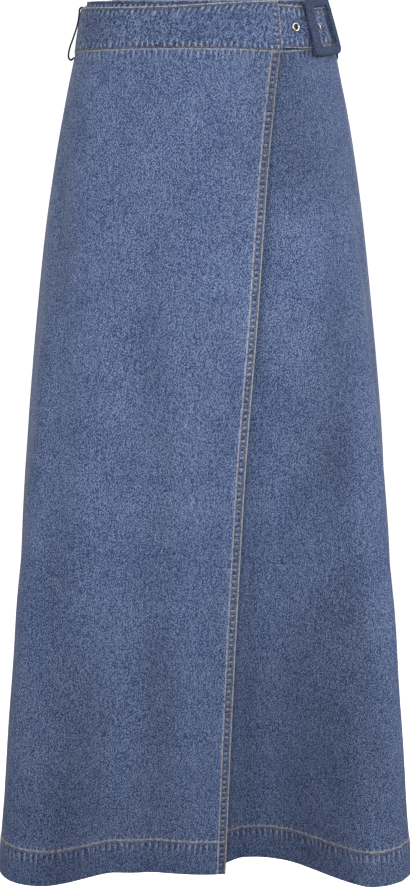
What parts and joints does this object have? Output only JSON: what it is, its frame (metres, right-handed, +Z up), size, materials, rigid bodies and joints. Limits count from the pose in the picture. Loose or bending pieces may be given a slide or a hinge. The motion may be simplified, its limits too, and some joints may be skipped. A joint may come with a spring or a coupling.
{
  "type": "wrap skirt",
  "caption": "Long A-line denim wrap skirt, worn form, its front overlap held by a strap through a covered slide buckle at the waist.",
  "frame": {"origin": "middle of the waist, halfway up the waistband at the centre front, where the wearer holds the skirt up", "axes": "+Z up along the body, -Y the wearer's front, +X to the right of someone who looks at the front"},
  "size_m": [0.4848, 0.4122, 0.945],
  "materials": {
    "denim": "mid-blue denim twill, salt-and-pepper grain",
    "band_denim": "doubled mid-blue denim, topstitched",
    "buckle_cover": "darker denim over a stiff frame",
    "eyelet_metal": "aged pale metal",
    "tape": "dark woven tape"
  },
  "bodies": {
    "root": {"front_outer_panel": "denim", "front_under_panel": "denim", "back_panel": "denim", "waistband_front_outer": "band_denim", "waistband_front_under": "band_denim", "waistband_back": "band_denim", "belt_strap": "band_denim", "eyelet_1": "eyelet_metal", "eyelet_2": "eyelet_metal", "buckle": "buckle_cover", "belt_loop_left": "tape", "belt_loop_right": "tape"}
  },
  "joints": []
}
